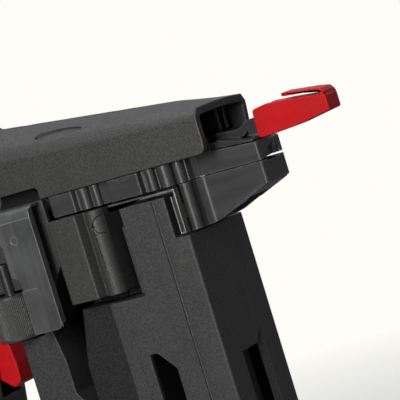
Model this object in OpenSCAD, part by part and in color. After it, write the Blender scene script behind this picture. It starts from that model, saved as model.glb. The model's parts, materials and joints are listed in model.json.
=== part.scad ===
// Cordless pistol-grip staple gun. +X is forward (the staples leave at the nose), +Z is up,
// Y = 0 is the middle plane. Millimetres. The tool stands on its battery and its magazine foot.

/* [Nose] */
// Width of the nose plates
nose_w = 21.8; // [20:0.2:23]
// Reach of the latch lever in front of the nose
lever_reach = 34.5; // [26:0.5:36]
// Width of the latch lever
lever_w = 12; // [11:0.5:14]
// Thickness of the driver blade
blade_t = 1.2; // [0.8:0.1:1.3]

/* [Top cover] */
// Outside width of the top cover
cover_w = 46; // [46:1:48]
// Wall of the top cover
cover_wall = 3.4; // [2.8:0.1:3.4]
// Rise of the crown of the cover at its back end
crown_rise = 12; // [8:0.5:13]

/* [Magazine] */
// Width of the magazine body
tower_w = 50; // [49:1:52]
// Wall of the magazine body
tower_wall = 2.5; // [2:0.1:3]

/* [Depth adjuster] */
// Radius of the depth wheel
wheel_r = 10.5; // [8:0.5:10.5]
// Thickness of the bracket plate
plate_t = 1.6; // [1.2:0.1:2]

/* [Battery] */
// Width of the battery case
battery_w = 76; // [76:1:84]
// Height from the seam of the nose down to the surface that the tool stands on
stand_h = 235; // [230:1:240]

/* [Hidden] */

// The parts are laid out from the nose end (X) and the nose seam (Z); this moves the origin to the
// middle of the base.
back_x = -251.5;
ox = -(lever_reach + back_x) / 2;
oz = stand_h;
hn = nose_w / 2;
hc = cover_w / 2;
ht = tower_w / 2;
hl = lever_w / 2;
zb = -stand_h;
// Lifter shaft and motor shaft, as [X, Z]
LX = -141; LZ = 14.8;
MZ = 30; MX = LX - sqrt(27 * 27 - (MZ - LZ) * (MZ - LZ));
rack_m = 2; rack_p = PI * rack_m;
// Latch pivot, as [X, Z]
PX = 4.5; PZ = 15;
// Depth wheel axis, as [X, Y]
WX = -136; WY = -22.5;

module place() translate([ox, 0, oz]) children();

// Rounded polygons: each corner is [x, y, radius]
function unit(v) = v / norm(v);
function corner(p0, p1, p2, r, n) = r <= 0 ? [[p1.x, p1.y]] :
  let (a = unit([p0.x - p1.x, p0.y - p1.y]), b = unit([p2.x - p1.x, p2.y - p1.y]),
       ang = acos(max(-1, min(1, a * b))), t = r / tan(ang / 2),
       c = [p1.x, p1.y] + unit(a + b) * (r / sin(ang / 2)),
       s = [p1.x, p1.y] + a * t, e = [p1.x, p1.y] + b * t,
       a0 = atan2(s.y - c.y, s.x - c.x), a1 = atan2(e.y - c.y, e.x - c.x),
       d0 = a1 - a0, d = d0 > 180 ? d0 - 360 : d0 < -180 ? d0 + 360 : d0)
  [for (i = [0:n]) c + r * [cos(a0 + d * i / n), sin(a0 + d * i / n)]];
function rp(pts, n = 4) = [for (i = [0:len(pts) - 1])
  each corner(pts[(i + len(pts) - 1) % len(pts)], pts[i], pts[(i + 1) % len(pts)],
    len(pts[i]) > 2 ? pts[i][2] : 0, n)];
function flip(pts) = [for (i = [len(pts) - 1:-1:0])
  len(pts[i]) > 2 ? [pts[i].x, -pts[i].y, pts[i][2]] : [pts[i].x, -pts[i].y]];
module xz(y0, y1, pts, n = 4) translate([0, y1, 0]) rotate([90, 0, 0]) linear_extrude(y1 - y0) polygon(rp(pts, n));
module yz(x0, x1, pts, n = 4) translate([x0, 0, 0]) rotate([90, 0, 90]) linear_extrude(x1 - x0) polygon(rp(pts, n));
module xy(z0, z1, pts, n = 4) translate([0, 0, z0]) linear_extrude(z1 - z0) polygon(rp(pts, n));
module bx(a, b) translate(a) cube(b - a);
module xcyl(y, z, r, x0, x1) translate([x0, y, z]) rotate([0, 90, 0]) cylinder(r = r, h = x1 - x0, $fn = 48);
module ycyl(x, z, r, y0, y1) translate([x, y0, z]) rotate([-90, 0, 0]) cylinder(r = r, h = y1 - y0, $fn = 48);
module zcyl(x, y, r, z0, z1) translate([x, y, z0]) cylinder(r = r, h = z1 - z0, $fn = 48);
module mir() { children(); mirror([0, 1, 0]) children(); }

// A smooth body through rings of points, each ring counter-clockwise about the loft's direction
module loft(rings) {
  n = len(rings[0]); k = len(rings);
  polyhedron(points = [for (r = rings) each r],
    faces = concat([[for (i = [0:n - 1]) i]], [[for (i = [n - 1:-1:0]) (k - 1) * n + i]],
      [for (j = [0:k - 2]) for (i = [0:n - 1]) [j * n + i, (j + 1) * n + i, (j + 1) * n + (i + 1) % n]],
      [for (j = [0:k - 2]) for (i = [0:n - 1]) [j * n + i, (j + 1) * n + (i + 1) % n, j * n + (i + 1) % n]]));
}
// Rounded rectangle ring across X: half width, bottom, top, corner radius
function ring_x(x, hw, z0, z1, r, n = 4) = [for (c = [[hw - r, z1 - r, 0], [r - hw, z1 - r, 90], [r - hw, z0 + r, 180], [hw - r, z0 + r, 270]])
  for (i = [0:n]) [x, c[0] + r * cos(c[2] + 90 * i / n), c[1] + r * sin(c[2] + 90 * i / n)]];
// Rounded rectangle ring across Z: middle X, half length, half width, corner radius
function ring_z(z, cx, hx, hy, r, n = 5) = [for (c = [[hx - r, hy - r, 0], [r - hx, hy - r, 90], [r - hx, r - hy, 180], [hx - r, r - hy, 270]])
  for (i = [0:n]) [cx + c[0] + r * cos(c[2] + 90 * i / n), c[1] + r * sin(c[2] + 90 * i / n), z]];

// Involute gear outline: teeth, module, addendum, dedendum, backlash as an angle, turned by a0
function inv(a) = tan(a) * 180 / PI - a;
function tooth(N, m, add, ded, bl, a0) = let (r = N * m / 2, rb = r * cos(20), ra = r + add, rf = r - ded,
    q0 = max(rb, rf), h = 90 / N - bl + inv(20))
  concat([rf * [cos(a0 - h), sin(a0 - h)]],
    [for (i = [0:4]) let (q = q0 + (ra - q0) * i / 4, f = h - inv(acos(min(1, rb / q)))) q * [cos(a0 - f), sin(a0 - f)]],
    [for (i = [4:-1:0]) let (q = q0 + (ra - q0) * i / 4, f = h - inv(acos(min(1, rb / q)))) q * [cos(a0 + f), sin(a0 + f)]],
    [rf * [cos(a0 + h), sin(a0 + h)]]);
module gear2d(N, m, add, ded, bl, a0, skip = -1) polygon([for (i = [0:N - 1])
  each i == skip ? [(N * m / 2 - ded) * [cos(a0 + 360 * i / N), sin(a0 + 360 * i / N)]] : tooth(N, m, add, ded, bl, a0 + 360 * i / N)]);

// ---- top cover ----
function sx(x) = (-18 - x) / 105;
function zc(x) = 25.4 + 4.8 * sx(x);
function ze(x) = 29 + 5.2 * sx(x);
function zr(x) = 31.6 + crown_rise * sx(x) - 1.8 * max(0, 1 - sx(x) / 0.2);
function ztop(x, y) = ze(x) + (zr(x) - ze(x)) * (1 - pow(y / (hc - 3), 2));
function cover_ring(x, w, zbot) = concat(
  [[x, hc - w, zbot], [x, hc - w, w > 0 ? ze(x) - w - 1.3 : zc(x)]],
  [for (i = [0:12]) let (y = (hc - 3) * (1 - i / 6)) [x, w > 0 ? y * (hc - w - 0.9) / (hc - 3) : y, ztop(x, y) - w]],
  [[x, w - hc, w > 0 ? ze(x) - w - 1.3 : zc(x)], [x, w - hc, zbot]]);
module oval(x, y) translate([x, y, ztop(x, y)])
  rotate([atan(-2 * y * (zr(x) - ze(x)) / pow(hc - 3, 2)), 4.2, 0]) translate([0, 0, -1.2])
  linear_extrude(5) polygon([for (i = [0:31]) [12.5 * cos(i * 11.25), 3.4 * sin(i * 11.25)]]);
module top_cover() color([0.2, 0.2, 0.2]) place() {
  difference() {
    intersection() {
      loft([for (x = [-142, -100, -60, -39, -15]) cover_ring(x, 0, 9.9)]);
      xz(-30, 30, [[-142, 9.9], [-18.6, 9.9, 3], [-16.8, 29.2, 0.6], [-20, 60], [-142, 60]]);
      xy(0, 70, [[-143, -30], [-18.4, -30], [-15.8, 30], [-143, 30]]);
    }
    loft([for (x = [-143, -100, -60, -39, -14]) cover_ring(x, cover_wall, 5)]);
    xz(-30, -15, [[-150, 0], [-105.4, 0], [-105.4, 15.4, 2], [-150, 15.4]]);
    oval(-91, -15.4); oval(-91, 15.4); oval(-67.5, 0); oval(-118, 0);
  }
  // the two posts that rest on the latch arm's plate
  bx([-40, 6, 16.2], [-24, 8, 29.4]);
  bx([-40, 12.8, 16.2], [-24, 14.8, 28.6]);
  bx([-40, -8, 16.2], [-27, -6, 29.4]);
}

// ---- nose ----
// Half outline of the frame's side, from back to front
SIDE = [[-101.6, -22.5, 0.8], [-89.2, -22.5, 0.8], [-88.2, -20.2, 0.6], [-81, -19.4], [-70.6, -19.4, 0.6], [-69.8, -22.8, 0.8],
  [-54, -22.8, 0.8], [-53.4, -20, 0.4], [-46.4, -19, 0.4], [-45.8, -17.4], [-36.8, -17.4], [-35.2, -15.2, 1], [-35.2, -11.3]];
module upper_nose_frame() color([0.25, 0.25, 0.25]) place() difference() {
  union() {
    xy(0.2, 9.6, concat(SIDE, flip(SIDE)));
    xy(0.2, 9.6, [[-104, -8], [-95, -8], [-95, 8], [-104, 8]]);
    mir() { zcyl(-84, -20, 2.7, 0.2, 9.6); zcyl(-77.8, -20.2, 1.9, 0.2, 9.6); zcyl(-49, -20, 2.3, 0.2, 9.6); zcyl(-42.3, -18.6, 3.4, 0.2, 9.6); }
    mir() zcyl(-36.2, -17.2, 2.6, 0.2, 9.6);
    mir() xy(0.2, 9.6, [[-42, -16.5], [-33, -16.5, 0.5], [-32.2, -13.4, 0.8], [-30.2, -11.3], [-42, -11.3]]);
  }
  bx([-62.6, -8.3, 0], [-30, 8.3, 7]);
  bx([-105, -5.5, 0], [-62, 5.5, 0.9]);
  bx([-105, -4, 0], [-62, 4, 5]);
  bx([-45, -11.3, -1], [-30, 11.3, 12]);
  mir() zcyl(-60, -13, 1.55, 4, 12);
  // shallow arc on the side
  mir() translate([-62, -23, 16]) rotate([90, 0, 0]) cylinder(r = 8, h = 0.8, center = true, $fn = 48);
}
module upper_nose_block() color([0.26, 0.26, 0.26]) place() difference() {
  union() {
    intersection() {
      xz(-20, 20, [[-38.3, 0.2], [0, 0.2, 0.5], [0, 8.2, 1.2], [-24, 9.6, 6], [-38.3, 9.6, 0.8]]);
      xy(-1, 12, [[-38.3, -hn], [0, -hn, 1.4], [0, hn, 1.4], [-38.3, hn]]);
    }
    bx([-58, -8, 0.2], [-37, 8, 6.7]);
  }
  bx([-59, -5.5, 0], [1, 5.5, 0.9]);
  bx([-59, -4, 0], [-53, 4, 5]);
  // stepped reliefs and side pockets of the nose end
  yz(-0.7, 1, [[-6.8, 1.1], [7.4, 1.1], [7.4, 3.8, 0.6], [3.6, 3.8, 0.6], [3.6, 5.6, 0.6], [-3.2, 5.6, 0.6], [-3.2, 3.4, 0.6], [-6.8, 3.4, 0.6]]);
  yz(-1.6, 1, [[-2.4, 0.2], [2.8, 0.2], [2.8, 4.6, 0.8], [-2.4, 4.6, 0.8]]);
  bx([-7, 3.6, -0.1], [1, 12, 0.8]);
  mir() zcyl(-12, -7.6, 1.6, -1, 5);
}
LIP = [[-17.5, -15.5], [-2, -9.5], [-2, -10.4], [-16.6, -15.9], [-18.5, -16.3]];
module lower_nose_plate() color([0.28, 0.28, 0.28]) place() difference() {
  union() {
    intersection() {
      xz(-22, 22, [[-38, -0.2], [0, -0.2, 0.5], [0, -9.4], [-18, -16.2], [-26.4, -19.5, 1], [-31, -20.5, 1], [-38, -20.5]]);
      union() {
        xy(-30, 5, [[-38, -16.5], [-33, -16.5, 0.5], [-32.2, -13.4, 1.2], [-30, -hn, 3], [0, -hn, 1.4], [0, hn, 1.4], [-30, hn, 3],
          [-32.2, 13.4, 1.2], [-33, 16.5, 0.5], [-38, 16.5]]);
        mir() zcyl(-35.4, -17.2, 2.9, -30, 5);
      }
    }
    xz(-hn - 0.3, hn + 0.3, LIP);
  }
  bx([-39, -5.5, -0.9], [1, 5.5, 0.5]);
  // pocket under the plate
  xz(-7.5, 7.5, [[-29, -25], [-29, -4.5, 1], [-9, -4.5, 1], [-9, -8], [-14, -25]]);
  mir() zcyl(-12, -9, 1.6, -30, 1);
  mir() zcyl(-35.4, -17.2, 1.4, -30, -3);
}
module nose_screws() color([0.6, 0.6, 0.62]) place() mir() {
  zcyl(-35.4, -17.2, 1.4, -20.2, -3);
}
module trip_arm() color([0.7, 0.71, 0.72]) place() union() {
  xy(-2, -1, [[-37.3, -24.9], [-37.3, -21.2], [-52.5, -21.2, 2], [-55.5, -12, 3], [-112, -12], [-112, -16], [-57, -16, 2], [-54.8, -24.9]]);
  // folded leg, hooked behind the corner of the lower plate
  xz(-24.9, -21.2, [[-38.1, -1.5], [-38.1, -20], [-39.5, -20], [-39.5, -4], [-40.1, -4], [-40.1, -20.6, 0.5], [-37.3, -20.6, 0.5], [-37.3, -1.5]]);
  bx([-39.6, -22.2, -20.2], [-37.6, -21.2, -3.6]);
  bx([-38.1, -22, -14.5], [-37.3, -19.4, -8.5]);
}
module trip_spring() color("silver") place() translate([-112, -14, -1.5]) rotate([0, -90, 0]) difference() {
  cylinder(r = 2.6, h = 11, $fn = 32);
  translate([0, 0, -1]) cylinder(r = 1.9, h = 13, $fn = 32);
}
module latch_arm() color([0.2, 0.2, 0.21]) place() difference() {
  union() {
    xz(-17.5, 17.5, [[-64, 9.8], [-19.6, 9.8], [-19.6, 15.2, 0.8], [-42, 15.2, 1], [-45, 12.3, 1], [-64, 12.3]]);
    xz(-10.7, 10.7, [[-20, 9.9], [-17.5, 9.75], [-1.6, 8.8], [-1.6, 9.5], [-9, 10.6], [-20, 13.4]]);
    xz(-3, 3, [[-22, 11], [-11.5, 11], [-8.6, 11.8], [-6.6, 13.4], [-6.8, 13], [-6.2, 10.9, 0.6], [PX, 10.9], [PX, 17.6],
      [-3.6, 17.8], [-5.6, 17.7], [-7.2, 17.1], [-8.6, 16], [-10, 15.3], [-12, 14.9], [-16, 15.1], [-22, 16]]);
    ycyl(PX, PZ, 3.4, -3, 3);
  }
  ycyl(PX, PZ, 1.54, -5, 5);
  mir() zcyl(-60, -13, 1.6, 5, 20);
  // finger relief in the front edge
  bx([-25, -16, 12.6], [-18.5, -4.5, 20]);
  bx([-25, 4.5, 12.6], [-18.5, 16, 20]);
}
module arm_screws() color("silver") place() mir() {
  zcyl(-60, -13, 1.5, 4.2, 12.4);
  zcyl(-60, -13, 3, 12.3, 14);
}
tip = lever_reach;
module latch_lever() color([0.75, 0.13, 0.14]) place() difference() {
  union() {
    xz(-hl, hl, [[-1.2, 8.8, 1.8], [6, 9, 8], [18, 9.8, 20], [tip, 12.4, 0.8], [tip, 19, 0.8], [tip - 2.6, 19.9, 1.2], [15, 21.6, 4], [6, 22.2, 3], [-0.6, 21.2, 1.4]]);
    // tongue over the top, joined at the front only
    xz(0.6 - hl, hl - 0.6, [[tip - 20, 23.1], [tip - 7, 21.8], [tip - 3, 21.2], [tip - 2.6, 19.4], [tip - 0.2, 18.6], [tip - 0.3, 20.6, 0.6],
      [tip - 1.6, 22.2, 0.8], [tip - 6, 23.1, 3], [tip - 20, 24.7, 0.4]]);
  }
  ycyl(PX, PZ, 1.5, 1.2 - hl, hl - 1.2);
  bx([-4, -3.3, 0], [10.5, 3.3, 30]);
}
module latch_pin() color("silver") place() ycyl(PX, PZ, 1.5, 1.2 - hl, hl - 1.2);

// ---- magazine ----
module tower_out() union() {
  xy(zb + 6, -21.6, [[-66.5, -ht, 0.5], [-36.2, -ht, 1.2], [-36.2, ht, 1.2], [-66.5, ht, 0.5]]);
  xy(-30, -3.4, [[-66.5, -ht, 0.5], [-43.2, -ht, 0.6], [-43.2, ht, 0.6], [-66.5, ht, 0.5]]);
  xy(zb + 6, -42.6, [[-85.8, -ht, 1.2], [-60, -ht], [-60, ht], [-85.8, ht, 1.2]]);
  // tongues that stand inside the frame and between the side covers
  bx([-66, -10.6, -6], [-43.6, 10.6, -0.2]);
  bx([-85.4, -7, -44], [-66, 7, -12]);
  bx([-75.9, -12, -44], [-66, 12, -12]);
}
module magazine_body() color([0.2, 0.2, 0.2]) place() difference() {
  tower_out();
  // inside space, open below for the foot
  bx([-66.5 + tower_wall, tower_wall - ht, zb + 5], [-36.2 - tower_wall, ht - tower_wall, -24.4]);
  bx([-64, tower_wall - ht, -30], [-45.7, ht - tower_wall, -6]);
  bx([-85.8 + tower_wall, tower_wall - ht, zb + 5], [-60, ht - tower_wall, -45.2]);
  // staple channel through the top
  bx([-62.5, -5.7, -30], [-37.9, 5.7, 0]);
  bx([-67, -5.7, -1.3], [-37.9, 5.7, 0]);
  // step grooves in the sides
  mir() bx([-50.1, -30, zb - 10], [-48.6, -ht + 0.9, 0]);
  // side window with a sloping top corner
  xz(-ht - 5, -ht + 6, [[-73.2, -68.2], [-69.2, -68.2], [-61.8, -76.2], [-61.8, -150], [-73.2, -150]]);
  // front window beside a ramp that runs back into the side
  bx([-40.5, -10.6, -150], [-35, 4.9, -77.6]);
  ramp();
  // slot for the pusher knob
  bx([-58.9, ht - 6, -196], [-53.1, ht + 5, -30]);
}
module ramp() polyhedron(points = [[-35, 4.8, -76], [-35, 12.9, -69.4], [-35, 13.6, -150], [-35, 4.8, -150], [-40.6, 4.8, -78], [-40.6, 4.8, -150]],
  faces = [[0, 1, 2, 3], [0, 3, 5, 4], [1, 0, 4], [2, 1, 4, 5], [3, 2, 5]]);
module staple_rail() color([0.7, 0.7, 0.72]) place() xy(zb + 8, -20.9, [[-60.4, -4.4, 0.8], [-41.8, -4.4, 0.8], [-41.8, 4.4, 0.8], [-60.4, 4.4, 0.8]]);
module pusher() color([0.15, 0.15, 0.16]) place() difference() {
  union() {
    bx([-63, -8, -50], [-41.9, 8, -27]);
    bx([-58.5, 7, -50], [-53.5, 22, -38]);
    bx([-58.3, 21, -49.6], [-53.7, ht + 0.8, -38.4]);
  }
  bx([-60.8, -4.8, -60], [-38, 4.8, 0]);
}
module pusher_knob() color([0.75, 0.13, 0.14]) place() xz(ht + 0.8, ht + 6.8, [[-62, -52, 2], [-47, -52, 2], [-47, -36, 2], [-62, -36, 2]]);
module pusher_spring() color("silver") place() difference() {
  union() { ycyl(-73, -55, 6, -4, 4); bx([-79, -4, -61], [-78.4, 4, -55]); }
  ycyl(-73, -55, 3.2, -5, 5);
}
module magazine_foot() color([0.13, 0.13, 0.13]) place() difference() {
  union() {
    xy(zb, zb + 6, [[-86.3, -ht - 0.5, 2], [-35.7, -ht - 0.5, 2], [-35.7, ht + 0.5, 2], [-86.3, ht + 0.5, 2]]);
    xy(zb, zb + 8, [[-83, 3 - ht, 1], [-39.4, 3 - ht, 1], [-39.4, ht - 3, 1], [-83, ht - 3, 1]]);
  }
  for (x = [-76:8:-44]) bx([x, -40, zb - 1], [x + 2.5, 40, zb + 1]);
}
module magazine_rear_cover() color([0.17, 0.17, 0.17]) place() difference() {
  union() {
    xz(-15, 15, [[-85.9, -42.9], [-106.6, -42.9], [-112.8, -69, 3], [-112.8, -90, 5], [-99, -98, 8], [-98, zb + 8], [-85.9, zb + 8]]);
    bx([-101, -7, -44], [-86, 7, -20]);
  }
  xz(-12.6, 12.6, [[-84, -45.4], [-104.6, -45.4], [-110.3, -69.6, 1], [-110.3, -88.6, 3], [-96.6, -96.6, 8], [-95.6, zb + 10], [-84, zb + 10]]);
}

// ---- side covers ----
CX = -81.7; CY = -20.2; CR = 4.9;
function roll(r, a0, a1, n) = [for (i = [0:n]) [CX + r * cos(a0 + (a1 - a0) * i / n), CY + r * sin(a0 + (a1 - a0) * i / n)]];
COVER = concat(rp([[-76.9, -8], [-104.4, -8], [-104.4, -25, 1], [-89.6, -25, 1.2], [-87.6, -20.8, 1], [-86.8, -20.5]], 6), roll(CR, 186, 360, 20));
module side_cover() difference() {
  translate([0, 0, -39.1]) linear_extrude(38.2) polygon(COVER);
  union() {
    translate([0, 0, -36.6]) linear_extrude(37.6) polygon(concat(rp([[-79.3, -5], [-102, -5], [-102, -22.6, 1], [-91, -22.6, 1], [-89, -19.2, 1]], 4), [[-86.4, -17.4]], roll(2.4, 200, 340, 8)));
    bx([-105, -16.6, -4.4], [-70, -7, 1]);
  }
  ycyl(-77.6, -7.8, 3.9, -30, -21.6);
}
module left_side_cover() color([0.19, 0.19, 0.19]) place() side_cover();
module right_side_cover() color([0.19, 0.19, 0.19]) place() mirror([0, 1, 0]) side_cover();
module side_cover_plugs() color([0.23, 0.23, 0.23]) place() mir() intersection() { ycyl(-77.6, -7.8, 3.7, -30, -21.6); zcyl(CX, CY, 4.95, -20, 2); }

// ---- depth adjuster ----
module depth_bracket() color([0.42, 0.43, 0.43]) place() difference() {
  union() {
    xz(-33, plate_t - 33, [[-113.2, -47], [-106.7, -47, 3], [-106.7, 4], [-138, 4], [-125.4, -6], [-125.4, -20, 1], [-122, -21.6], [-122, -26.8], [-113.2, -26.8]]);
    // lower part, flared outward over the wheel
    translate([0, 0, -47]) linear_extrude(20.2) polygon([[-112.9, -33], [-121.6, -34.2], [-121.8, -32.9], [-112.9, -31.7]]);
    // flange
    bx([-108, -32.6, -44.6], [-106.7, -29.2, 8]);
    // rolled top
    yz(-138, -106.7, [[-33, 3.6], [-33, 9.4, 5.8], [-23.5, 9.4, 0.5], [-23.5, 8, 0.4], [-31.6, 8, 4.2], [-31.6, 3.6]], 8);
  }
  bx([-130, -40, -26.8], [-121.6, -30, -21.6]);
  ycyl(-118.1, -4.2, 1.9, -40, -20);
}
module bracket_screws() color([0.3, 0.3, 0.3]) place() {
  ycyl(-118.1, -4.2, 1.4, -32.5, -20.5);
  ycyl(-118.1, -4.2, 1.9, -32.8, -31.4);
}
module depth_wheel() color([0.35, 0.35, 0.35]) place() difference() {
  translate([WX, WY, 0]) union() {
    translate([0, 0, -48.4]) cylinder(r1 = wheel_r - 0.8, r2 = wheel_r, h = 0.8, $fn = 64);
    translate([0, 0, -47.6]) cylinder(r = wheel_r, h = 19, $fn = 64);
    translate([0, 0, -28.6]) cylinder(r1 = wheel_r, r2 = wheel_r - 0.8, h = 0.8, $fn = 64);
  }
  zcyl(WX, WY, 2.5, -60, 0);
  zcyl(WX, WY, 4.4, -60, -45.6);
}
module depth_screw() color("silver") place() { zcyl(WX, WY, 2.45, -47, -14); zcyl(WX, WY, 4, -48, -46); }

// ---- housing ----
BODY = [[-142.4, 31.4, -29, 43, 13], [-153, 32.8, -31.5, 50, 11], [-200, 33, -32, 58, 11], [-236, 32, -30, 56, 13], [-248.5, 28, -24, 50, 14]];
module body_loft(w) loft([for (i = [len(BODY) - 1:-1:0]) let (b = BODY[i])
  ring_x(b[0] + (i == 0 ? -w : (i == len(BODY) - 1 ? w : 0)), b[1] - w, b[2] + w, b[3] - w, b[4] - w)]);
HAND = [[-186, -200, 47, 34, 12], [-172, -200, 46, 33, 12], [-163, -200, 31, 24, 12], [-148, -199, 22.5, 18.2, 11],
  [-110, -193, 20, 17, 11], [-70, -187, 20.5, 17.2, 11], [-45, -184, 23, 18, 11], [-24, -182, 28, 20, 11]];
module hand_loft(w) loft([for (i = [0:len(HAND) - 1]) let (h = HAND[i])
  ring_z(h[0] + (i == 0 ? -w / 2 : i == len(HAND) - 1 ? w : 0), h[1], h[2] - w, h[3] - w, h[4] - w)]);
module sleeve_loft() loft([for (i = [3:6]) let (h = HAND[i]) ring_z(h[0], h[1], h[2] + 1.5, h[3] + 1.5, h[4] + 1.5)]);
FRONT = [[-156, -30], [-143, -42], [-138, -50, 3], [-138, -92, 4], [-113.4, -92, 2], [-113.4, -84, 1.5], [-117.6, -78, 2], [-117.8, -62], [-120.6, -46, 2],
  [-112.4, -30, 3], [-105, -20, 2], [-105, 9.6], [-156, 9.6]];
// Housing screws: X, Z and the half width of the housing there
SCREWS = [[-151.5, -22, 32.4], [-236, -23, 30], [-243, 34, 30], [-190, 47, 32.6], [-193, -90, 17], [-197, -132, 17.4]];
module housing_shell() difference() {
  union() {
    difference() {
      union() { body_loft(0); hand_loft(0); }
      body_loft(2.7);
      difference() { hand_loft(2.7); bx([-300, -50, -189], [-100, 50, -178.5]); }
    }
    difference() {
      xz(-22.6, 22.6, FRONT);
      xz(-19.9, 19.9, [[-166, -29], [-145, -33], [-140, -44], [-135.2, -51, 2], [-135.2, -89, 2], [-116.4, -89, 1], [-120.4, -78], [-120.6, -62],
        [-123.4, -46, 2], [-115, -31, 2], [-107.8, -21, 1], [-104, -19], [-104, 11], [-166, 11]]);
    }
    // spacer for the bracket screw
    ycyl(-118.1, -4.2, 3.4, plate_t - 33, -19.9);
    // collar that holds the lock button
    ycyl(-172, -35.5, 6.4, -19, 19);
    // screw bosses
    intersection() { union() { body_loft(0.5); hand_loft(0.5); } for (p = SCREWS) ycyl(p.x, p.y, 4.6, -40, 40); }
  }
  // battery slot under the foot, wider above than below
  bx([-260, -14.4, -190], [-158, 14.4, -184]);
  bx([-260, -18.6, -184.4], [-158, 18.6, -181.2]);
  // the drive runs through the front wall
  bx([-169, -12, -12], [-139, 19.7, 39]);
  bx([-250, -15.5, -14], [-143, 15.5, 16]);
  // trigger opening
  xz(-8.5, 8.5, [[-190, -75], [-143.5, -75], [-143.5, -40], [-158, -38], [-158, -40.6], [-190, -40.6]]);
  ycyl(-172, -35.5, 4.05, -40, 40);
  // vents near the back
  for (x = [-230:7:-209]) mir() bx([x, 20, 26], [x + 3, 50, 40]);
  // belt hook threads
  ycyl(-214, -175.8, 1.65, 27, 40);
  ycyl(-205, -175.8, 1.65, -40, -27);
  // screw holes, open on the right side only
  for (p = SCREWS) { ycyl(p.x, p.y, 2.1, -12, 40); ycyl(p.x, p.y, 3.9, p[2] - 5, 40); }
  // space for the depth wheel and its screw
  zcyl(WX, WY, wheel_r + 0.8, -49.2, -27);
  zcyl(WX, WY, 2.5, -30, -13.6);
  ycyl(-118.1, -4.2, 1.4, -40, -15);
}
module foot_boss() intersection() { hand_loft(0.05); difference() { union() { bx([-220, 24, -180.5], [-208, 40, -170]); bx([-211, -40, -180.5], [-199, -24, -170]); } ycyl(-214, -175.8, 1.65, 20, 50); ycyl(-205, -175.8, 1.65, -50, -20); } }
module left_housing() color([0.18, 0.18, 0.18]) place() intersection() {
  union() { housing_shell(); foot_boss(); }
  bx([-300, -60, -200], [0, 0, 100]);
}
module right_housing() color([0.18, 0.18, 0.18]) place() intersection() {
  union() { housing_shell(); foot_boss(); }
  bx([-300, 0, -200], [0, 60, 100]);
}
module grip_sleeve() color([0.12, 0.12, 0.12]) place() difference() {
  intersection() { sleeve_loft(); xz(-30, 30, [[-250, -50], [-196, -50], [-203, -100], [-206, -147], [-250, -147]]); }
  hand_loft(0);
}
module rear_bumper() color([0.12, 0.12, 0.12]) place() yz(-251.5, -248.5, [[-25, -18, 10], [25, -18, 10], [25, 46, 10], [-25, 46, 10]]);
module trigger() color([0.7, 0.12, 0.12]) place() difference() {
  xz(-8, 8, [[-154.2, -41, 1], [-156.2, -51, 6], [-155.2, -61, 6], [-155.6, -69.6, 2.5], [-160, -72, 2], [-168, -66, 3], [-174, -64], [-174, -44], [-164, -41]]);
  ycyl(-176, -56, 3.6, -3, 3);
  bx([-180, -5, -62], [-168, 5, -48]);
}
module trigger_spring() color("silver") place() translate([-179.6, 0, -55]) rotate([0, 90, 0]) difference() {
  cylinder(r = 3, h = 11, $fn = 32);
  translate([0, 0, -1]) cylinder(r = 2.3, h = 13, $fn = 32);
}
module trigger_switch() color([0.1, 0.1, 0.1]) place() bx([-198, -9, -66], [-180, 9, -46]);
module lock_button() color([0.75, 0.13, 0.14]) place() ycyl(-172, -35.5, 4, -21.5, 21.5);
module housing_screws() color([0.4, 0.4, 0.4]) place() for (p = SCREWS) difference() {
  union() { ycyl(p.x, p.y, 2.05, -11.8, p[2] - 4.9); ycyl(p.x, p.y, 3.7, p[2] - 5, p[2] - 2.4); }
  translate([p.x, p[2] - 4, p.y]) rotate([-90, 0, 0]) cylinder(r = 1.7, h = 4, $fn = 6);
}

// ---- drive ----
module drive_frame() color([0.6, 0.6, 0.62]) place() difference() {
  union() {
    xz(-10.2, -6.3, [[-155.5, -9], [-108, -9], [-108, 6], [-127, 25, 5], [-145, 28, 5], [-149, 24], [-155.5, 10]]);
    xz(15.2, 19.2, [[-155.5, -9], [-108, -9], [-108, 6], [-127, 25, 5], [-145, 28, 5], [-149, 24], [-155.5, 10]]);
    bx([-155.5, -10.2, -9.6], [-108, 19.2, -5.2]);
  }
  ycyl(LX, LZ, 6.5, -20, -6);
  ycyl(LX, LZ, 6.5, 15, 25);
}
module lifter_bearings() color("silver") place() {
  difference() { ycyl(LX, LZ, 6.5, -10.2, -6.3); ycyl(LX, LZ, 4.04, -12, 0); }
  difference() { ycyl(LX, LZ, 6.5, 15.2, 19.2); ycyl(LX, LZ, 4.04, 10, 25); }
}
module lifter_shaft() color("silver") place() ycyl(LX, LZ, 4, -10, 19);
module lifter_wheel() color([0.5, 0.5, 0.52]) place() difference() {
  translate([LX, 3.4, LZ]) rotate([90, 0, 0]) linear_extrude(6.8) gear2d(12, 2, 1.6, 2.4, 1.4, -90, 1);
  ycyl(LX, LZ, 4, -20, 20);
}
module lifter_gear() color([0.5, 0.5, 0.52]) place() difference() {
  translate([LX, 14, LZ]) rotate([90, 0, 0]) linear_extrude(6) gear2d(20, 1.5, 1.2, 1.8, 0.6, atan2(MZ - LZ, MX - LX));
  ycyl(LX, LZ, 4.02, -20, 20);
}
module motor() color([0.3, 0.3, 0.32]) place() difference() {
  union() { ycyl(MX, MZ, 16, -28.4, -11); ycyl(MX, MZ, 6, -11, -9); }
  ycyl(MX, MZ, 2.53, -28, 0);
}
module motor_pinion() color("silver") place() union() {
  translate([MX, 14, MZ]) rotate([90, 0, 0]) linear_extrude(6) gear2d(16, 1.5, 1.2, 1.8, 0.75, atan2(MZ - LZ, MX - LX) + 180 + 180 / 16);
  ycyl(MX, MZ, 2.5, -27, 8.5);
}
module drive_cylinder() color([0.62, 0.63, 0.65]) place() difference() {
  xcyl(0, 0, 15, -242, -158.2);
  xcyl(0, 0, 13, -243, -158);
}
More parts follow.
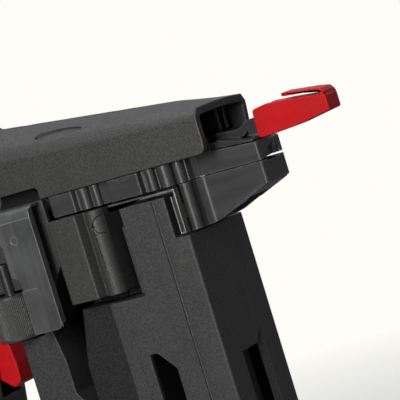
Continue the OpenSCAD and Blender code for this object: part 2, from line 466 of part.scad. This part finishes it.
module cylinder_cap() color([0.62, 0.63, 0.65]) place() union() {
  xcyl(0, 0, 15, -245, -242);
  xcyl(0, 0, 12.9, -242.2, -239.8);
}
module driver_bumper() color([0.3, 0.2, 0.1]) place() difference() {
  xcyl(0, 0, 13, -163.6, -158.2);
  bx([-168, -5.6, -1.4], [-157, 5.6, 5]);
}
module piston() color([0.65, 0.65, 0.68]) place() difference() {
  xcyl(0, 0, 12.94, -239.4, -230);
  bx([-235, -5.05, -blade_t / 2], [-229, 5.05, blade_t / 2]);
}
module driver_blade() color([0.6, 0.6, 0.63]) place() union() {
  bx([-235, -5, -blade_t / 2], [-67, 5, blade_t / 2]);
  for (k = [-1:10]) xz(-3.4, 3.4, let (c = LX - rack_p / 2 - k * rack_p)
    [[c - 2.17, 0.3], [c + 2.17, 0.3], [c + 2.07, 0.65], [c + 0.85, 4.1], [c - 0.85, 4.1], [c - 2.07, 0.65]]);
}

// ---- battery ----
bh = battery_w / 2;
module battery_case() color([0.14, 0.14, 0.14]) place() difference() {
  loft([ring_z(zb, -200, 44, bh - 4, 8), ring_z(zb + 4, -200, 47, bh - 0.5, 9), ring_z(zb + 26, -200, 48, bh, 9), ring_z(-199, -200, 47.5, bh - 1, 9)]);
  bx([-245, 4 - bh, zb + 4], [-155, bh - 4, -198]);
  mir() bx([-170, bh - 4.1, -217], [-156, bh + 5, -207]);
}
module battery_lid() color([0.18, 0.18, 0.18]) place() difference() {
  union() {
    loft([ring_z(-199, -200, 47.5, bh - 1, 9), ring_z(-190, -200, 47, 35, 9), ring_z(-186.4, -200, 46, 33.5, 9)]);
    bx([-246, -14, -188], [-160, 14, -184]);
    bx([-246, -18.2, -184.1], [-160, 18.2, -181.6]);
  }
  bx([-240, -28, -200], [-160, 28, -190.5]);
  for (y = [-9, -3, 3, 9]) bx([-180, y - 1, -186], [-159, y + 1, -181]);
}
module battery_terminals() color([0.75, 0.6, 0.3]) place() for (y = [-9, -3, 3, 9]) bx([-178, y - 0.4, -186], [-164, y + 0.4, -182.2]);
module button() xz(bh - 6, bh - 0.2, [[-169.4, -216.4, 2], [-156.6, -216.4, 2], [-156.6, -207.6, 2], [-169.4, -207.6, 2]]);
module battery_button_left() color([0.75, 0.13, 0.14]) place() mirror([0, 1, 0]) button();
module battery_button_right() color([0.75, 0.13, 0.14]) place() button();
module control_board() color([0.1, 0.3, 0.15]) place() bx([-232, -22, -177], [-170, 22, -175.4]);
module belt_hook() color([0.4, 0.4, 0.4]) place() difference() {
  union() {
    xz(34.2, 36, [[-220, -183, 2], [-208, -183, 2], [-208, -120, 3], [-214, -116, 2], [-220, -120, 3]]);
    yz(-219, -209, [[34.2, -122], [36, -120], [36, -117], [30, -110, 1], [28.6, -111.4], [34.2, -118]]);
  }
  ycyl(-214, -175.8, 2.1, 30, 40);
}
module hook_screw() color("silver") place() difference() {
  union() { ycyl(-214, -175.8, 1.65, 27, 36.2); ycyl(-214, -175.8, 3.8, 36, 37.8); }
  translate([-214, 36.8, -175.8]) rotate([-90, 0, 0]) cylinder(r = 1.7, h = 4, $fn = 6);
}

top_cover();
upper_nose_frame();
upper_nose_block();
lower_nose_plate();
trip_arm();
latch_arm();
latch_lever();
latch_pin();
arm_screws();
nose_screws();
trip_spring();
magazine_body();
staple_rail();
pusher();
pusher_knob();
pusher_spring();
magazine_foot();
magazine_rear_cover();
left_side_cover();
right_side_cover();
side_cover_plugs();
depth_bracket();
depth_wheel();
depth_screw();
bracket_screws();
left_housing();
right_housing();
grip_sleeve();
rear_bumper();
trigger();
trigger_spring();
trigger_switch();
lock_button();
drive_frame();
drive_cylinder();
cylinder_cap();
piston();
driver_blade();
driver_bumper();
lifter_wheel();
lifter_shaft();
lifter_gear();
lifter_bearings();
motor();
motor_pinion();
battery_case();
battery_lid();
battery_terminals();
battery_button_left();
battery_button_right();
control_board();
belt_hook();
hook_screw();
housing_screws();
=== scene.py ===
import bpy, bmesh, json, math
from mathutils import Vector, Matrix, noise


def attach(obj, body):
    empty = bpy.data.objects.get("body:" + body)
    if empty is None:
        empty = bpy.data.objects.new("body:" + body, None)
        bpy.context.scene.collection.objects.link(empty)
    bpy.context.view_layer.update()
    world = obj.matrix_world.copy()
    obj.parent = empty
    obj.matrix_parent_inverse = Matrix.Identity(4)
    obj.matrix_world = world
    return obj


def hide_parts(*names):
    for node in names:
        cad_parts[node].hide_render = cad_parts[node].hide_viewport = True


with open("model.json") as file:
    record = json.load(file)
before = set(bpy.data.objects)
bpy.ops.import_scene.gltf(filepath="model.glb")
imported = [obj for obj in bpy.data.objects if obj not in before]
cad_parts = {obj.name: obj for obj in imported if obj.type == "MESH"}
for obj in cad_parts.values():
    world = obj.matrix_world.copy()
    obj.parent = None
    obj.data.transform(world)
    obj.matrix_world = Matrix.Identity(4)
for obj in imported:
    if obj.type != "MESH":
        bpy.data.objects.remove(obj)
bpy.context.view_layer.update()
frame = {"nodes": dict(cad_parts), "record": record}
NODES = frame["nodes"]
BODY_OF = {n: b for b, ns in frame["record"]["behaviour"]["bodies"].items() for n in ns}
SLOT_OF = {s["node"]: s["material_slot"] for s in frame["record"]["subparts"]}

# The CAD is laid out from the nose end (X) and the nose seam (Z); this is where that point is.
OX = 0.1085
OZ = 0.235


def P(x, y, z):
    """A point in millimetres from the nose end and seam, as a point of the row frame in metres."""
    return Vector((x / 1000 + OX, y / 1000, z / 1000 + OZ))


# ---------------------------------------------------------------- camera, world, light
def srgb(r, g, b):
    def f(c):
        c /= 255.0
        return c / 12.92 if c <= 0.04045 else ((c + 0.055) / 1.055) ** 2.4
    return (f(r), f(g), f(b), 1.0)


BACK = srgb(254, 253, 248)
scene = bpy.context.scene
cam_data = bpy.data.cameras.new("camera")
cam_data.lens = 180
cam_data.sensor_width = 36
cam_data.clip_start = 0.05
cam_data.clip_end = 60
cam = bpy.data.objects.new("camera", cam_data)
scene.collection.objects.link(cam)
scene.camera = cam
AZ, EL, ROLL, DIST = 30.0, 3.5, 17.0, 0.840
ca, sa = math.cos(math.radians(AZ)), math.sin(math.radians(AZ))
ce, se = math.cos(math.radians(EL)), math.sin(math.radians(EL))
back = Vector((sa * ce, -ca * ce, se))
right = Vector((ca, sa, 0))
up = back.cross(right)
cr, sr = math.cos(math.radians(ROLL)), math.sin(math.radians(ROLL))
rx = right * cr - up * sr
uy = right * sr + up * cr
aim = P(-25.6, -26.2, -8.4)
eye = aim + back * DIST
cam.matrix_world = Matrix(((rx.x, uy.x, back.x, eye.x), (rx.y, uy.y, back.y, eye.y), (rx.z, uy.z, back.z, eye.z), (0, 0, 0, 1)))

world = bpy.data.worlds.new("world")
scene.world = world
world.use_nodes = True
wt = world.node_tree
wt.nodes.clear()
w_out = wt.nodes.new("ShaderNodeOutputWorld")
w_see = wt.nodes.new("ShaderNodeBackground")
w_see.inputs[0].default_value = BACK
w_see.inputs[1].default_value = 1.0
w_lit = wt.nodes.new("ShaderNodeBackground")
w_lit.inputs[0].default_value = (0.95, 0.975, 1.0, 1)
# bright behind the tool and above it, dim from the front and from the nose side
w_co = wt.nodes.new("ShaderNodeTexCoord")
w_add = []
for vec, lo, hi, amount in (((-0.5, 0.866, 0.0), 0.1, 1.0, 0.45), ((0.0, 0.0, 1.0), 0.0, 1.0, 0.25)):
    w_dot = wt.nodes.new("ShaderNodeVectorMath")
    w_dot.operation = "DOT_PRODUCT"
    wt.links.new(w_co.outputs["Generated"], w_dot.inputs[0])
    w_dot.inputs[1].default_value = vec
    w_map = wt.nodes.new("ShaderNodeMapRange")
    wt.links.new(w_dot.outputs["Value"], w_map.inputs[0])
    for i, x in enumerate((lo, hi, 0.0, amount)):
        w_map.inputs[i + 1].default_value = x
    w_add.append(w_map.outputs[0])
w_sum = wt.nodes.new("ShaderNodeMath")
w_sum.operation = "ADD"
wt.links.new(w_add[0], w_sum.inputs[0])
wt.links.new(w_add[1], w_sum.inputs[1])
w_all = wt.nodes.new("ShaderNodeMath")
w_all.operation = "ADD"
wt.links.new(w_sum.outputs[0], w_all.inputs[0])
w_all.inputs[1].default_value = 0.08
wt.links.new(w_all.outputs[0], w_lit.inputs[1])
w_mix = wt.nodes.new("ShaderNodeMixShader")
w_path = wt.nodes.new("ShaderNodeLightPath")
wt.links.new(w_path.outputs["Is Camera Ray"], w_mix.inputs[0])
wt.links.new(w_lit.outputs[0], w_mix.inputs[1])
wt.links.new(w_see.outputs[0], w_mix.inputs[2])
wt.links.new(w_mix.outputs[0], w_out.inputs[0])
scene.view_settings.view_transform = "Standard"
scene.view_settings.look = "None"


def area(name, at, to, size, watts, color=(1, 1, 1)):
    d = bpy.data.lights.new(name, "AREA")
    d.shape = "RECTANGLE"
    d.size, d.size_y = size
    d.energy = watts
    d.color = color
    o = bpy.data.objects.new(name, d)
    scene.collection.objects.link(o)
    o.location = at
    o.rotation_euler = (Vector(to) - Vector(at)).to_track_quat("-Z", "Y").to_euler()
    return o


area("key", (0.2, -1.36, 0.7), (0.02, 0, 0.2), (0.5, 0.9), 25, (1, 0.985, 0.965))
area("top", (-0.15, 0.15, 1.5), (0.03, 0, 0.2), (1.0, 0.9), 7.8, (1, 1, 1))
area("edge", (1.25, -0.74, 0.2), (0.05, 0, 0.2), (0.1, 0.9), 0.9, (0.97, 0.98, 1))

# ---------------------------------------------------------------- material kit
class Mat:
    """A small helper that wires nodes by name."""

    def __init__(self, name):
        self.m = bpy.data.materials.new(name)
        self.m.use_nodes = True
        self.t = self.m.node_tree
        self.t.nodes.clear()
        self.out = self.t.nodes.new("ShaderNodeOutputMaterial")
        self.b = self.t.nodes.new("ShaderNodeBsdfPrincipled")
        self.link(self.b.outputs[0], self.out.inputs[0])
        self.co = self.t.nodes.new("ShaderNodeTexCoord").outputs["Object"]

    def link(self, a, b):
        self.t.links.new(a, b)

    def node(self, kind, **kw):
        n = self.t.nodes.new(kind)
        for k, v in kw.items():
            setattr(n, k, v)
        return n

    def put(self, n, name, v):
        s = n.inputs[name]
        if hasattr(v, "is_output") or isinstance(v, bpy.types.NodeSocket):
            self.link(v, s)
        else:
            s.default_value = v

    def scaled(self, sx, sy, sz):
        n = self.node("ShaderNodeMapping")
        self.link(self.co, n.inputs[0])
        n.inputs["Scale"].default_value = (sx, sy, sz)
        return n.outputs[0]

    def noise(self, scale, detail=3, rough=0.55, co=None, dist=0.0):
        n = self.node("ShaderNodeTexNoise")
        self.link(co or self.co, n.inputs["Vector"])
        n.inputs["Scale"].default_value = scale
        n.inputs["Detail"].default_value = detail
        n.inputs["Roughness"].default_value = rough
        n.inputs["Distortion"].default_value = dist
        return n.outputs[0]

    def voronoi(self, scale, co=None, feature="F1"):
        n = self.node("ShaderNodeTexVoronoi", feature=feature)
        self.link(co or self.co, n.inputs["Vector"])
        n.inputs["Scale"].default_value = scale
        return n.outputs["Distance"]

    def ramp(self, v, *stops):
        n = self.node("ShaderNodeValToRGB")
        self.link(v, n.inputs[0])
        e = n.color_ramp.elements
        while len(e) > 1:
            e.remove(e[-1])
        e[0].position, e[0].color = stops[0][0], stops[0][1] if len(stops[0][1:]) and not isinstance(stops[0][1], (int, float)) else (stops[0][1],) * 3 + (1,)
        for p, c in stops[1:]:
            x = e.new(p)
            x.color = c if not isinstance(c, (int, float)) else (c, c, c, 1)
        return n.outputs[0]

    def maprange(self, v, a, b, c, d):
        n = self.node("ShaderNodeMapRange")
        self.link(v, n.inputs[0])
        for i, x in enumerate((a, b, c, d)):
            n.inputs[i + 1].default_value = x
        return n.outputs[0]

    def math(self, op, a, b=None, clamp=False):
        n = self.node("ShaderNodeMath", operation=op, use_clamp=clamp)
        for i, x in enumerate((a, b)):
            if x is None:
                continue
            if isinstance(x, (int, float)):
                n.inputs[i].default_value = x
            else:
                self.link(x, n.inputs[i])
        return n.outputs[0]

    def mix(self, f, a, b):
        n = self.node("ShaderNodeMix", data_type="RGBA")
        for s, x in ((0, f), (6, a), (7, b)):
            if isinstance(x, (int, float, tuple, list)):
                n.inputs[s].default_value = x
            else:
                self.link(x, n.inputs[s])
        return n.outputs[2]

    def bump(self, h, strength, dist, normal=None):
        n = self.node("ShaderNodeBump")
        n.inputs["Strength"].default_value = strength
        n.inputs["Distance"].default_value = dist
        self.link(h, n.inputs["Height"])
        if normal is not None:
            self.link(normal, n.inputs["Normal"])
        return n.outputs[0]

    def edges(self, radius):
        """0 on flat areas, 1 along convex and concave edges, from the bevelled normal."""
        bev = self.node("ShaderNodeBevel", samples=4)
        bev.inputs["Radius"].default_value = radius
        geo = self.node("ShaderNodeNewGeometry")
        dot = self.node("ShaderNodeVectorMath", operation="DOT_PRODUCT")
        self.link(bev.outputs[0], dot.inputs[0])
        self.link(geo.outputs["Normal"], dot.inputs[1])
        return self.maprange(dot.outputs["Value"], 0.995, 0.86, 0.0, 1.0)


def scale_color(c, k):
    return (c[0] * k, c[1] * k, c[2] * k, 1)


def grained(name, color, rough=0.5, grain=1900, depth=0.00006, mottle=0.15, wear_and_highlight=0.25, spec=0.5):
    """Moulded plastic with a spark-eroded grain, faint mottling, and edges lightened partly as rubbed wear and partly
    as a painted edge highlight.
    """
    m = Mat(name)
    fine = m.noise(grain, 2, 0.6)
    cell = m.voronoi(grain * 0.62)
    h = m.math("ADD", m.math("MULTIPLY", fine, 0.65), m.math("MULTIPLY", cell, 0.5))
    broad = m.noise(26, 4, 0.6)
    smear = m.noise(90, 3, 0.6, m.scaled(1, 1, 0.35))
    base = m.mix(m.maprange(broad, 0.3, 0.7, 0, 1), scale_color(color, 1 - mottle), scale_color(color, 1 + mottle))
    speck = m.maprange(m.noise(1150, 3, 0.65), 0.34, 0.68, 0.0, 1.0)
    base = m.mix(m.math("MULTIPLY", speck, 0.6), scale_color(color, 0.72), base)
    base = m.mix(m.math("MULTIPLY", m.maprange(fine, 0.5, 0.68, 0.0, 1.0), 0.3), base, scale_color(color, 1.8))
    e = m.edges(0.0009)
    # edges lightened towards 3.2 times the colour: partly rubbed wear, partly a painted edge highlight
    rub_and_highlight = m.math("MULTIPLY", m.math("MULTIPLY", e, m.maprange(m.noise(340, 4, 0.7), 0.35, 0.7, 0.2, 1.0)), wear_and_highlight, True)
    base = m.mix(rub_and_highlight, base, scale_color(color, 3.2))
    m.link(base, m.b.inputs["Base Color"])
    r = m.math("ADD", m.maprange(smear, 0.3, 0.75, rough - 0.05, rough + 0.08), m.math("MULTIPLY", rub_and_highlight, -0.12))
    m.link(r, m.b.inputs["Roughness"])
    m.link(m.maprange(m.noise(2100, 2, 0.7), 0.34, 0.66, spec * 0.25, spec * 1.75), m.b.inputs["Specular IOR Level"])
    n = m.bump(h, 0.7, depth)
    n = m.bump(m.noise(55, 2, 0.5), 0.12, 0.0004, n)
    m.link(n, m.b.inputs["Normal"])
    return m.m


def satin_cast(name, color, rough=0.42, wear_and_highlight=0.35, spec=0.5, lift=3.4):
    """Coated casting: smooth satin skin with a faint orange peel, and edges polished through use and lightened further
    as a painted edge highlight.
    """
    m = Mat(name)
    peel = m.noise(520, 2, 0.5)
    tiny = m.noise(2600, 2, 0.6)
    broad = m.noise(34, 4, 0.62)
    base = m.mix(m.maprange(broad, 0.3, 0.7, 0, 1), scale_color(color, 0.86), scale_color(color, 1.15))
    e = m.edges(0.0008)
    # edges lightened by lift: partly polished wear, partly a painted edge highlight
    rub_and_highlight = m.math("MULTIPLY", m.math("MULTIPLY", e, m.maprange(m.noise(420, 4, 0.7), 0.35, 0.68, 0.15, 1.0)), wear_and_highlight, True)
    base = m.mix(rub_and_highlight, base, scale_color(color, lift))
    scr = m.noise(130, 3, 0.55, m.scaled(0.25, 3, 3))
    m.link(base, m.b.inputs["Base Color"])
    m.link(m.maprange(scr, 0.35, 0.72, rough - 0.06, rough + 0.09), m.b.inputs["Roughness"])
    m.b.inputs["Specular IOR Level"].default_value = spec
    n = m.bump(peel, 0.10, 0.0002)
    n = m.bump(tiny, 0.25, 0.00002, n)
    m.link(n, m.b.inputs["Normal"])
    return m.m


def steel(name, color, rough=0.3, streak=(1, 1, 24), metal=1.0, tint=0.25, bright=2.2, edge=0.8):
    """Rolled or ground steel: streaks along one axis, cloudy oxide, bright cut edges."""
    m = Mat(name)
    lines = m.noise(160, 4, 0.65, m.scaled(*streak))
    fine = m.noise(900, 2, 0.6, m.scaled(*streak))
    cloud = m.noise(70, 4, 0.6)
    base = m.mix(m.maprange(cloud, 0.3, 0.7, 0, 1), scale_color(color, 1 - tint), scale_color(color, 1 + tint))
    base = m.mix(m.maprange(lines, 0.35, 0.7, 0, 0.5), base, scale_color(color, 1.7))
    e = m.edges(0.0006)
    base = m.mix(m.math("MULTIPLY", e, edge, True), base, scale_color(color, bright))
    m.link(base, m.b.inputs["Base Color"])
    m.b.inputs["Metallic"].default_value = metal
    m.link(m.maprange(lines, 0.3, 0.75, rough - 0.07, rough + 0.12), m.b.inputs["Roughness"])
    n = m.bump(fine, 0.22, 0.00003)
    n = m.bump(cloud, 0.1, 0.0002, n)
    m.link(n, m.b.inputs["Normal"])
    return m.m


def red_plastic(name, color):
    m = Mat(name)
    broad = m.noise(60, 4, 0.6)
    base = m.mix(m.maprange(broad, 0.3, 0.72, 0, 1), scale_color(color, 0.9), scale_color(color, 1.08))
    e = m.edges(0.0008)
    # edges lightened and paled: partly scuffed wear, partly a painted edge highlight
    rub_and_highlight = m.math("MULTIPLY", m.math("MULTIPLY", e, m.maprange(m.noise(500, 4, 0.7), 0.4, 0.7, 0.1, 1.0)), 0.3, True)
    base = m.mix(rub_and_highlight, base, (color[0] * 1.35, color[1] * 3 + 0.03, color[2] * 3 + 0.03, 1))
    scuff = m.noise(220, 4, 0.7, m.scaled(0.5, 2, 2))
    m.link(base, m.b.inputs["Base Color"])
    m.link(m.maprange(scuff, 0.35, 0.75, 0.34, 0.52), m.b.inputs["Roughness"])
    m.b.inputs["Subsurface Weight"].default_value = 0.04
    m.b.inputs["Subsurface Radius"].default_value = (0.002, 0.0006, 0.0005)
    m.b.inputs["Specular IOR Level"].default_value = 0.15
    n = m.bump(m.noise(1500, 2, 0.6), 0.2, 0.00003)
    n = m.bump(m.noise(110, 2, 0.5), 0.08, 0.0003, n)
    m.link(n, m.b.inputs["Normal"])
    return m.m


def rubber(name, color):
    m = Mat(name)
    pore = m.voronoi(1500)
    broad = m.noise(45, 4, 0.6)
    dust = m.maprange(m.noise(12, 5, 0.7), 0.45, 0.75, 0, 0.25)
    base = m.mix(m.maprange(broad, 0.3, 0.7, 0, 1), scale_color(color, 0.8), scale_color(color, 1.25))
    base = m.mix(dust, base, scale_color(color, 2.6))
    m.link(base, m.b.inputs["Base Color"])
    m.link(m.maprange(broad, 0.3, 0.7, 0.62, 0.8), m.b.inputs["Roughness"])
    m.b.inputs["Specular IOR Level"].default_value = 0.35
    m.b.inputs["Sheen Weight"].default_value = 0.12
    m.b.inputs["Sheen Roughness"].default_value = 0.5
    m.link(m.bump(pore, 0.35, 0.00008), m.b.inputs["Normal"])
    return m.m


MATS = {
    "cover_plastic": grained("m_cover", (0.028, 0.028, 0.0275, 1), 0.5, 2300, 0.00006, 0.12, 0.45),
    # strong edge lightening on the nose casting: worn edges plus a painted edge highlight
    "nose_cast": satin_cast("m_nose", (0.026, 0.026, 0.0262, 1), 0.36, 0.9, 0.6, 5),
    # very dark plastic, darker than the parts' own colour: painted shade for recessed and shadowed parts
    "shade_plastic": grained("m_painted_shade", (0.011, 0.011, 0.0112, 1), 0.6, 1500, 0.00005, 0.1, 0.2, 0.3),
    "bright_strip": steel("m_strip", (0.22, 0.22, 0.215, 1), 0.34, (24, 1, 1), 1.0, 0.25, 2.6, 0.9),
    # very strong edge lightening on the arm: worn edges plus a painted edge highlight
    "arm_black": satin_cast("m_arm", (0.011, 0.011, 0.0112, 1), 0.45, 1.0, 0.35, 7),
    "red_plastic": red_plastic("m_red", (0.40, 0.005, 0.008, 1)),
    "steel": steel("m_steel", (0.45, 0.45, 0.46, 1), 0.28, (1, 20, 1)),
    "black_screw": satin_cast("m_screw", (0.02, 0.02, 0.02, 1), 0.35, 0.8),
    "tower_plastic": grained("m_tower", (0.029, 0.029, 0.0292, 1), 0.52, 2300, 0.00005, 0.12, 0.3),
    "inner_black": grained("m_inner", (0.012, 0.012, 0.012, 1), 0.55, 1500, 0.00004),
    "rubber_black": rubber("m_rubber", (0.016, 0.016, 0.016, 1)),
    "dark_steel": steel("m_dark_steel", (0.085, 0.087, 0.088, 1), 0.36, (1, 1, 0.06), 0.55, 0.3, 3.2, 0.9),
    "wheel_black": grained("m_wheel", (0.036, 0.036, 0.036, 1), 0.33, 1500, 0.00003, 0.1, 0.6),
    "housing_plastic": grained("m_housing", (0.024, 0.024, 0.0245, 1), 0.55, 1500, 0.00008, 0.12, 0.3),
    "cast_alloy": steel("m_alloy", (0.40, 0.40, 0.41, 1), 0.42, (1, 1, 3)),
    "bumper_rubber": rubber("m_bumper", (0.12, 0.05, 0.02, 1)),
    "motor_dark": steel("m_motor", (0.06, 0.06, 0.065, 1), 0.4, (1, 12, 1)),
    "battery_plastic": grained("m_battery", (0.018, 0.018, 0.0185, 1), 0.58, 1300, 0.0001, 0.12, 0.3),
    "brass_contact": steel("m_brass", (0.62, 0.42, 0.16, 1), 0.25, (12, 1, 1), 1.0, 0.15, 1.3),
    "board_green": satin_cast("m_board", (0.012, 0.07, 0.025, 1), 0.3, 0.2),
}


# ---------------------------------------------------------------- mesh kit
def link(o):
    scene.collection.objects.link(o)
    return o


def bake(o):
    """The object's modifiers, applied."""
    bpy.context.view_layer.update()
    dg = bpy.context.evaluated_depsgraph_get()
    me = bpy.data.meshes.new_from_object(o.evaluated_get(dg), preserve_all_data_layers=False, depsgraph=dg)
    o.modifiers.clear()
    old = o.data
    o.data = me
    bpy.data.meshes.remove(old)
    return o


def clean_copy(node):
    """The CAD node's mesh with its split corners joined and its flat faces whole."""
    me = NODES[node].data.copy()
    bm = bmesh.new()
    bm.from_mesh(me)
    bmesh.ops.remove_doubles(bm, verts=bm.verts, dist=2e-6)
    bmesh.ops.dissolve_degenerate(bm, edges=bm.edges, dist=1e-6)
    bmesh.ops.dissolve_limit(bm, angle_limit=math.radians(0.6), verts=bm.verts, edges=bm.edges)
    bmesh.ops.recalc_face_normals(bm, faces=bm.faces)
    bm.to_mesh(me)
    bm.free()
    me.materials.clear()
    return me


def finish_piece(o, node, body=None, slot=None, mat=None, smooth=38, flat=True):
    o.data.materials.clear()
    s = slot or SLOT_OF[node]
    o.data.materials.append(mat or MATS[s])
    o.data.shade_smooth()
    if smooth:
        o.data.set_sharp_from_angle(angle=math.radians(smooth))
    if flat:
        w = o.modifiers.new("normals", "WEIGHTED_NORMAL")
        w.keep_sharp = True
        w.weight = 80
        bake(o)
    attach(o, body or BODY_OF[node])
    return o


def soften(node, width=0.0005, segs=2, angle=32, smooth=38, mat=None):
    """A piece with the CAD node's shape and small rounded edges."""
    o = link(bpy.data.objects.new("p_" + node, clean_copy(node)))
    b = o.modifiers.new("bevel", "BEVEL")
    b.limit_method = "ANGLE"
    b.angle_limit = math.radians(angle)
    b.width = width
    b.segments = segs
    b.use_clamp_overlap = node in ("upper_nose_block", "lower_nose_plate", "latch_arm", "upper_nose_frame")
    b.miter_outer = "MITER_ARC"
    b.profile = 0.6
    bake(o)
    finish_piece(o, node, smooth=smooth, mat=mat)
    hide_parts(node)
    return o


SOFT = {
    "top_cover": 0.0005, "upper_nose_frame": 0.0004, "upper_nose_block": 0.0004, "lower_nose_plate": 0.0004,
    "trip_arm": 0.0002, "latch_arm": 0.0004, "latch_lever": 0.0006, "magazine_body": 0.0005,
    "magazine_rear_cover": 0.0006, "left_side_cover": 0.0005, "right_side_cover": 0.0005, "side_cover_plugs": 0.0002,
    "depth_bracket": 0.0003, "left_housing": 0.0006, "right_housing": 0.0006,
    "rear_bumper": 0.0008, "trigger": 0.0008, "lock_button": 0.0006, "battery_case": 0.0008, "battery_lid": 0.0006,
    "battery_button_left": 0.0005, "battery_button_right": 0.0005, "belt_hook": 0.0004, "magazine_foot": 0.0006,
    "pusher_knob": 0.0006, "pusher": 0.0005, "grip_sleeve": 0.0003,
}
SMOOTH = {"top_cover": 17}
made = {}
for n, w in SOFT.items():
    made[n] = soften(n, w, smooth=SMOOTH.get(n, 38))


def lathe(rings, closed=True):
    """A mesh through rings of the same number of points; the last ring joins the first."""
    verts, faces = [], []
    k = len(rings[0])
    for r in rings:
        verts += [tuple(p) for p in r]
    m = len(rings)
    for j in range(m if closed else m - 1):
        for i in range(k):
            a, b = j * k + i, j * k + (i + 1) % k
            c, d = ((j + 1) % m) * k + (i + 1) % k, ((j + 1) % m) * k + i
            faces.append((a, b, c, d))
    me = bpy.data.meshes.new("lathe")
    me.from_pydata(verts, [], faces)
    bm = bmesh.new()
    bm.from_mesh(me)
    bmesh.ops.recalc_face_normals(bm, faces=bm.faces)
    bm.to_mesh(me)
    bm.free()
    return me


def put_piece(me, node, smooth=30, mat=None):
    o = link(bpy.data.objects.new("p_" + node, me))
    finish_piece(o, node, smooth=smooth, mat=mat)
    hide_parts(node)
    made[node] = o
    return o


# Depth wheel: upright flutes between two plain rims, a bore and a recess for the screw's head
WX, WY, WR, FL = -136.0, -22.5, 10.5, 76
NA = FL * 6


def wheel_ring(z, r, flute):
    out = []
    for i in range(NA):
        a = 2 * math.pi * i / NA
        w = 0.5 + 0.5 * math.cos(a * FL)
        rr = r - flute * (1 - w ** 0.6)
        out.append(P(WX + rr * math.cos(a), WY + rr * math.sin(a), z))
    return out


put_piece(lathe([wheel_ring(-48.4, WR - 0.9, 0), wheel_ring(-48.15, WR - 0.35, 0), wheel_ring(-47.7, WR - 0.1, 0), wheel_ring(-47.0, WR - 0.1, 0),
                 wheel_ring(-46.5, WR - 0.02, 0.22), wheel_ring(-38, WR - 0.02, 0.22), wheel_ring(-29.6, WR - 0.02, 0.22), wheel_ring(-29.1, WR - 0.1, 0),
                 wheel_ring(-28.5, WR - 0.1, 0), wheel_ring(-28.05, WR - 0.4, 0), wheel_ring(-27.8, WR - 0.9, 0), wheel_ring(-27.8, 2.9, 0),
                 wheel_ring(-28.2, 2.5, 0), wheel_ring(-45.6, 2.5, 0), wheel_ring(-45.6, 4.4, 0), wheel_ring(-48.1, 4.4, 0), wheel_ring(-48.4, 4.7, 0)]),
          "depth_wheel", 30)

for n in NODES:
    if n not in made:
        o = NODES[n]
        o.data.materials.clear()
        o.data.materials.append(MATS[SLOT_OF[n]])

# ---------------------------------------------------------------- floor
me = bpy.data.meshes.new("floor")
me.from_pydata([(-14, -14, 0), (14, -14, 0), (14, 14, 0), (-14, 14, 0)], [], [(0, 1, 2, 3)])
floor = link(bpy.data.objects.new("floor", me))
fm = Mat("m_floor")
fm.b.inputs["Roughness"].default_value = 0.7
em = fm.node("ShaderNodeEmission")
em.inputs[0].default_value = BACK
length = fm.node("ShaderNodeVectorMath", operation="LENGTH")
fm.link(fm.co, length.inputs[0])
mx = fm.node("ShaderNodeMixShader")
path = fm.node("ShaderNodeLightPath")
# pale to look at, but dim where it would throw light back up at the tool
fm.link(fm.mix(path.outputs["Is Camera Ray"], (0.16, 0.16, 0.16, 1), (0.82, 0.815, 0.79, 1)), fm.b.inputs["Base Color"])
fm.link(fm.math("MULTIPLY", fm.maprange(length.outputs["Value"], 0.35, 0.95, 0.0, 1.0), path.outputs["Is Camera Ray"]), mx.inputs[0])
fm.link(fm.b.outputs[0], mx.inputs[1])
fm.link(em.outputs[0], mx.inputs[2])
fm.link(mx.outputs[0], fm.out.inputs[0])
floor.data.materials.append(fm.m)

bpy.context.view_layer.update()
